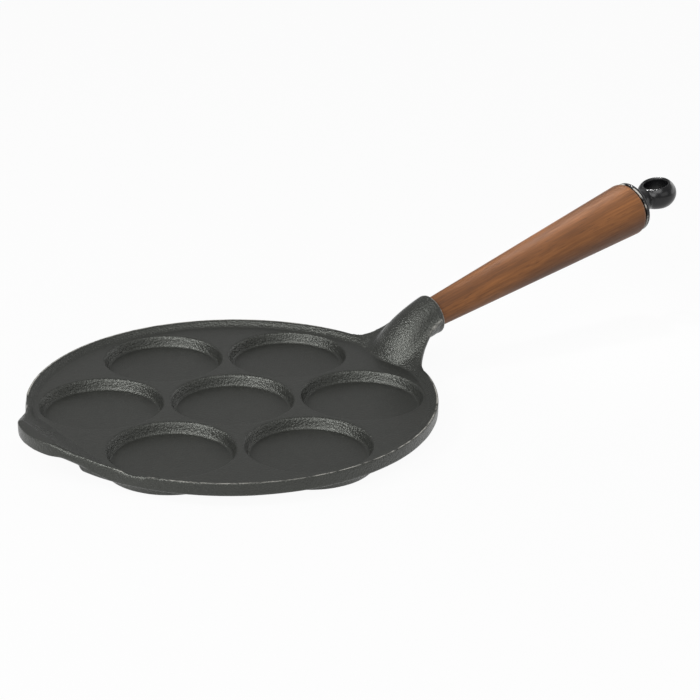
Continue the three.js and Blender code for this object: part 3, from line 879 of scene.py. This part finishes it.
def steel_material(finish):
    """Zinc-grey steel with turning marks along the rod."""
    n = Nodes("zinc_steel")
    place = n.place()
    marks = n.noise(n.scaled(place, (2600, 240, 240)), 1.0, 2)
    cloud = n.noise(place, 180, 3, 0.6)
    base = n.blend(n.ramp(cloud, 0.35, 0.7), finish.steel, shaded(finish.steel, 0.72))
    rough = n.plus(n.times(cloud, 0.2), 0.24)
    normal = n.bump(marks, 0.05 * MM, 0.3)
    return n.surface(Base_Color=base, Roughness=rough, Normal=normal, Metallic=1.0)


def dress(piece, material):
    piece.data.materials.clear()
    piece.data.materials.append(material)


class PAN_OT_casting(Operator):
    """Models the iron casting: plate, rim, wells, finger lip, neck and socket"""

    bl_idname = "pan.casting"
    bl_label = "Casting"

    def execute(self, context):
        scene = context.scene
        pan, lip, neck, handle = scene.pan_sizes, scene.lip_sizes, scene.neck_sizes, scene.handle_sizes
        shape = NeckShape(pan, neck, handle)
        body = self.poured(pan, lip, neck, handle)
        self.smooth(body, pan, shape)
        uneven(body, 14 * MM, 0.16 * MM)
        thinned(body, IRON_TRIANGLES)
        marked(body, "level", lambda vertex: abs(vertex.normal.z))
        marked(body, "edge", lambda vertex: self.pale_edges(vertex.co, pan, handle, shape))
        dress(body, iron_material(scene.finishes, pan))
        on_body(body, "pan_casting")
        return {"FINISHED"}

    def poured(self, pan, lip, neck, handle):
        """All parts of the casting in one mesh of even grain."""
        places = well_places(pan)
        body = plate_with_rim(pan)
        combined(body, "UNION", *copied(well_boss(pan), places))
        combined(body, "UNION", finger_lip(pan, lip), neck_body(pan, neck, handle), socket_body(handle))
        combined(body, "DIFFERENCE", joined(copied(well_hollow(pan), places)))
        combined(body, "DIFFERENCE", finger_hollow(pan, lip), socket_hollow(handle))
        body.name = "pan_iron"
        return finished(body, "REMESH", mode="VOXEL", voxel_size=pan.grain)

    def smooth(self, body, pan, shape):
        """Softens the whole skin a little, and the joins of the neck and the lip's sides more."""
        start, end = shape.nose_foot + 3 * MM, shape.end

        def on_neck(co):
            return plateau(co.x, start, start + 8 * MM, end - 9 * MM, end - 4 * MM)

        def on_lip(co):
            out = eased(hypot(co.x, co.y), pan.rim_radius - 6 * MM, pan.rim_radius - 2 * MM)
            sides = plateau(abs(co.y), 16 * MM, 30 * MM, 60 * MM, 66 * MM)
            high = eased(co.z, pan.plate_top, pan.plate_top + 2 * MM)
            return out * sides * high if co.x < 0 else 0

        weigh(body, "neck", on_neck)
        weigh(body, "lip", on_lip)
        for group, passes in (("", 2), ("neck", 60), ("lip", 150)):
            finished(body, "SMOOTH", factor=0.5, iterations=passes, vertex_group=group)
        body.vertex_groups.clear()

    def pale_edges(self, co, pan, handle, shape):
        """How pale a place is painted: the socket's mouth and the edges of the shoulders, as wear and as a
        painted highlight.
        """
        along = (co - handle_point(handle, 0, 0)).dot(handle_axes(handle)[0])
        mouth = eased(along, handle.socket_lip - 1.2 * MM, handle.socket_lip - 0.4 * MM)
        off = abs(abs(co.y) - shape.half_width(co.x))
        drop = abs(co.z - shape.shoulder(co.x) + 0.8 * MM)
        side = (1 - eased(off, 0.6 * MM, 1.8 * MM)) * (1 - eased(drop, 0.5 * MM, 1.6 * MM))
        side *= eased(co.x, pan.rim_radius + 9 * MM, pan.rim_radius + 18 * MM)
        return max(mouth, 0.6 * side if co.x < shape.end else 0)


class PAN_OT_grip(Operator):
    """Turns the wooden grip, bored through for the rod"""

    bl_idname = "pan.grip"
    bl_label = "Grip"

    def execute(self, context):
        scene = context.scene
        handle = scene.handle_sizes
        bore, root = handle.rod_radius + handle.clearance, handle.grip_root
        foot = handle.socket_lip - handle.socket_depth + handle.clearance
        mouth, end = handle.socket_lip, handle.grip_length
        start, chamfer, steps = end - handle.butt_round, 0.6 * MM, 12
        butt = mixed(root, handle.grip_butt, (start - mouth) / (end - mouth))
        profile = [at(foot, bore), at(foot, root - chamfer)]
        profile += [at(foot + chamfer, root), at(mouth, root)]
        for i in range(1, steps):
            profile.append(at(mixed(mouth, start, i / steps), mixed(root, butt, i / steps)))
        round_end = at(end, butt - handle.butt_round)
        profile += curve(at(start, butt), at(end, butt), round_end, 10)
        profile += [at(end, bore + chamfer), at(end - chamfer, bore), at(foot, bore)]
        grip = handle_spun(handle, "walnut_grip", profile, 144)
        pick(grip)
        bpy.ops.object.shade_smooth_by_angle(angle=radians(32))
        dress(grip, wood_material(scene.finishes, handle))
        on_body(grip, "handle_grip")
        return {"FINISHED"}


class PAN_OT_eye(Operator):
    """Models the hanging eye: a flange, a stem and a round-walled ring"""

    bl_idname = "pan.eye"
    bl_label = "Hanging eye"

    def execute(self, context):
        scene = context.scene
        handle, eye = scene.handle_sizes, scene.eye_sizes
        seat = handle.grip_length + handle.clearance
        along = handle_axes(handle)[0]
        body = self.poured(handle, eye, seat)

        def at_joint(co):
            reach = (co - handle_point(handle, 0, 0)).dot(along) - seat
            return plateau(reach, 5 * MM, 9 * MM, 17 * MM, 21 * MM)

        # The flange's outer edge by the wood, painted pale: wear, and a painted highlight.
        def flange_wear_and_glint(vertex):
            reach = vertex.co - handle_point(handle, 0, 0)
            off = (reach - along * reach.dot(along)).length
            outer = eased(off, eye.flange - 1.1 * MM, eye.flange - 0.5 * MM)
            return outer * (1 - eased(reach.dot(along) - seat, 0.5 * MM, 1.0 * MM))

        weigh(body, "joint", at_joint)
        for group, passes in (("", 5), ("joint", 50)):
            finished(body, "SMOOTH", factor=0.5, iterations=passes, vertex_group=group)
        body.vertex_groups.clear()
        thinned(body, EYE_TRIANGLES)
        marked(body, "edge", flange_wear_and_glint)
        dress(body, black_material(scene.finishes))
        on_body(body, "end_eye")
        return {"FINISHED"}

    def poured(self, handle, eye, seat):
        """Flange, stem and ring in one mesh of even grain, with the tapped hole."""
        hole, depth = handle.rod_radius + handle.clearance, seat + eye.thread
        bore = [at(seat - MM, 0), at(seat - MM, hole), at(depth, hole), at(depth, 0)]
        body = self.stem(handle, eye, seat)
        combined(body, "UNION", self.ring(handle, eye, seat + eye.centre))
        combined(body, "DIFFERENCE", handle_spun(handle, "bore", bore, 64))
        return finished(body, "REMESH", mode="VOXEL", voxel_size=eye.grain)

    def stem(self, handle, eye, seat):
        """The flange, swept in to a stem that ends inside the ring's wall."""
        half, radius, outer = eye.flange_edge / 2, eye.flange, seat + eye.flange_edge
        waist = seat + eye.neck_length
        tip = seat + eye.centre - (eye.ring + eye.hole) / 2
        profile = [at(seat, 0), at(seat, radius - half)]
        profile += curve(profile[-1], at(seat, radius), at(seat + half, radius), 5)[1:]
        profile += curve(profile[-1], at(outer, radius), at(outer, radius - half), 5)[1:]
        profile += curve(profile[-1], at(outer, eye.neck), at(waist, eye.neck), 12)[1:]
        profile += [at(tip, eye.neck - half), at(tip, 0)]
        return handle_spun(handle, "hanging_eye", profile, 96)

    def ring(self, handle, eye, centre):
        """A slice of a flattened ball, with a hole whose mouths are rounded."""
        along, up = handle_axes(handle)
        middle, steps = handle_point(handle, centre, 0), 12
        lean = asin(eye.half_height / eye.bulge)
        turns = [lean * (i / steps - 1) for i in range(2 * steps + 1)]
        wall = [at(eye.ring * cos(a), eye.bulge * sin(a)) for a in turns]
        crest, bare = wall[-1], eye.half_height - eye.hole_round
        wall += curve(crest, at(eye.hole, crest.y), at(eye.hole, bare), 8)[1:]
        wall += curve(at(eye.hole, -bare), at(eye.hole, -crest.y), wall[0], 8)
        return spun("ring", [middle + along * p.x + up * p.y for p in wall], middle, up, 96)


class PAN_OT_rod(Operator):
    """Gives the tie rod inside the grip its zinc finish"""

    bl_idname = "pan.rod"
    bl_label = "Tie rod"

    def execute(self, context):
        dress(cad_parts["tie_rod"], steel_material(context.scene.finishes))
        return {"FINISHED"}


class PAN_OT_stage(Operator):
    """Sets up the camera, the lights, the world and a pale floor"""

    bl_idname = "pan.stage"
    bl_label = "Stage"

    def execute(self, context):
        scene = context.scene
        stage = scene.stage_settings
        scene.view_settings.view_transform = "Standard"
        self.camera(scene, stage)
        self.lights()
        self.floor(stage)
        self.world(scene, stage)
        return {"FINISHED"}

    def camera(self, scene, stage):
        clear_selection()
        a, e, roll = stage.camera_azimuth, stage.camera_elevation, stage.camera_roll
        back = Vector((sin(a) * cos(e), -cos(a) * cos(e), sin(e)))
        right = Vector((cos(a), sin(a), 0))
        up = back.cross(right)
        side, head = right * cos(roll) + up * sin(roll), up * cos(roll) - right * sin(roll)
        bpy.ops.object.camera_add(location=stage.camera_place)
        camera = bpy.context.object
        camera.rotation_euler = Matrix((side, head, back)).transposed().to_euler()
        camera.data.lens = stage.lens
        camera.data.shift_x, camera.data.shift_y = stage.shift
        camera.data.clip_start = 0.01
        scene.camera = camera

    def lights(self):
        """Softboxes, each aimed at the pan or at the grip."""
        pan, grip = Vector((0.06, 0, 0.01)), Vector((0.265, 0, 0.058))
        for name, place, aim, size, grid, power in (
            ("overhead_softbox", (-0.32, -0.55, 1.32), pan, (1.1, 0.9), 180, 11),
            ("key_softbox", (-1.2, -0.5, 0.75), pan, (1.0, 0.7), 180, 9.5),
            ("left_softbox", (-1.05, 0.3, 1.04), pan, (0.5, 0.42), 180, 15),
            ("front_softbox", (0.3, -1.32, 0.68), pan, (1.2, 0.6), 180, 2),
            ("right_softbox", (1.45, -0.12, 0.34), pan, (1.5, 0.5), 180, 3.5),
            ("grip_softbox", (0.31, 0.34, 0.72), grip, (0.16, 0.16), 11, 0.07),
        ):
            clear_selection()
            bpy.ops.object.light_add(type="AREA", location=place)
            light = bpy.context.object
            light.name = name
            light.rotation_euler = (aim - Vector(place)).to_track_quat("-Z", "Y").to_euler()
            light.data.shape = "RECTANGLE"
            light.data.size, light.data.size_y = size
            light.data.spread = radians(grid)
            light.data.energy = power

    def floor(self, stage):
        """Pale paper, white to the camera and in reflections."""
        clear_selection()
        bpy.ops.mesh.primitive_plane_add(size=12, location=(0, 0, -0.2 * MM))
        floor = bpy.context.object
        floor.name = "floor"
        n = Nodes("floor_paper")
        seen = n.add("LightPath")
        shown = n.math("MAXIMUM", seen.outputs["Is Camera Ray"], seen.outputs["Is Glossy Ray"])
        shown = n.math("MAXIMUM", shown, seen.outputs["Is Transmission Ray"])
        white = n.add("Emission", {"Color": (1, 1, 1, 1), "Strength": 1.0})
        inputs = {"Fac": n.times(shown, stage.floor_glow), 1: n.shader.outputs[0], 2: white.outputs[0]}
        mix = n.add("MixShader", inputs)
        paper = n.noise(n.place(), 900, 2, 0.5)
        base = n.blend(paper, stage.floor_colour, shaded(stage.floor_colour, 0.97))
        n.surface(Base_Color=base, Roughness=0.9)
        n.put(n.tree.nodes["Material Output"].inputs["Surface"], mix.outputs[0])
        dress(floor, n.material)

    def world(self, scene, stage):
        world = bpy.data.worlds.new("studio")
        world.use_nodes = True
        scene.world = world
        background = world.node_tree.nodes["Background"]
        background.inputs["Color"].default_value = (1, 1, 1, 1)
        background.inputs["Strength"].default_value = stage.world_light


class PAN_PT_sidebar(Panel):
    """Sizes and steps of the pan"""

    bl_idname = "PAN_PT_sidebar"
    bl_label = "Blini pan"
    bl_space_type = "VIEW_3D"
    bl_region_type = "UI"
    bl_category = "Pan"

    def draw(self, context):
        layout = self.layout
        for operator in OPERATORS:
            layout.operator(operator.bl_idname)
        for name, group in GROUPS.items():
            box = layout.box()
            box.label(text=group.__doc__)
            for key in group.__annotations__:
                box.prop(getattr(context.scene, name), key)


GROUPS = {
    "pan_sizes": PanSizes,
    "lip_sizes": LipSizes,
    "neck_sizes": NeckSizes,
    "handle_sizes": HandleSizes,
    "eye_sizes": EyeSizes,
    "finishes": Finishes,
    "stage_settings": StageSettings,
}
OPERATORS = (PAN_OT_casting, PAN_OT_grip, PAN_OT_eye, PAN_OT_rod, PAN_OT_stage)
CLASSES = (*GROUPS.values(), *OPERATORS, PAN_PT_sidebar)


def register():
    for cls in CLASSES:
        bpy.utils.register_class(cls)
    for name, group in GROUPS.items():
        setattr(Scene, name, PointerProperty(type=group))


def unregister():
    for name in GROUPS:
        delattr(Scene, name)
    for cls in reversed(CLASSES):
        bpy.utils.unregister_class(cls)


def main():
    register()
    bpy.ops.pan.casting()
    bpy.ops.pan.grip()
    bpy.ops.pan.eye()
    bpy.ops.pan.rod()
    bpy.ops.pan.stage()


if __name__ == "__main__":
    main()
